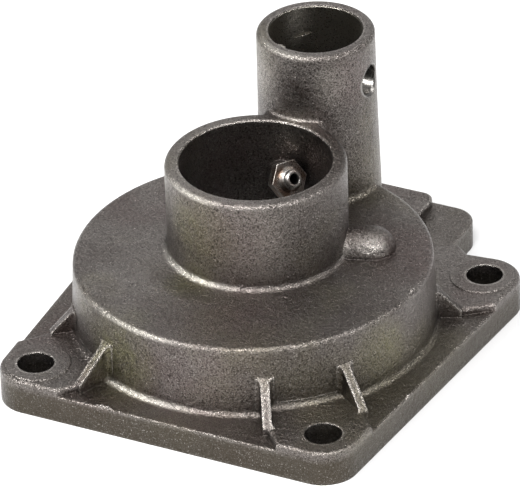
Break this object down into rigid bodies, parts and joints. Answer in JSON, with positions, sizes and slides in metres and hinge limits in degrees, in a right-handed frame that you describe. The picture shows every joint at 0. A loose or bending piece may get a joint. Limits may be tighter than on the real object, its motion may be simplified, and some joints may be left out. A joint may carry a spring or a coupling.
{
  "type": "water pump housing",
  "caption": "Cast pump housing with a square bolted flange, a low round chamber, an open inlet collar and a taller outlet tube with a cross hole.",
  "frame": {"origin": "axis of the impeller chamber on the gasket face", "axes": "+Z out of the chamber's roof along the collar and the tube, +X along the two front bolt holes, +Y towards the outlet tube"},
  "size_m": [0.1045, 0.1169, 0.0662],
  "materials": {
    "casting": "shot blasted",
    "jet": "turned"
  },
  "bodies": {
    "root": {"housing": "casting", "jet_nipple": "jet"}
  },
  "joints": []
}
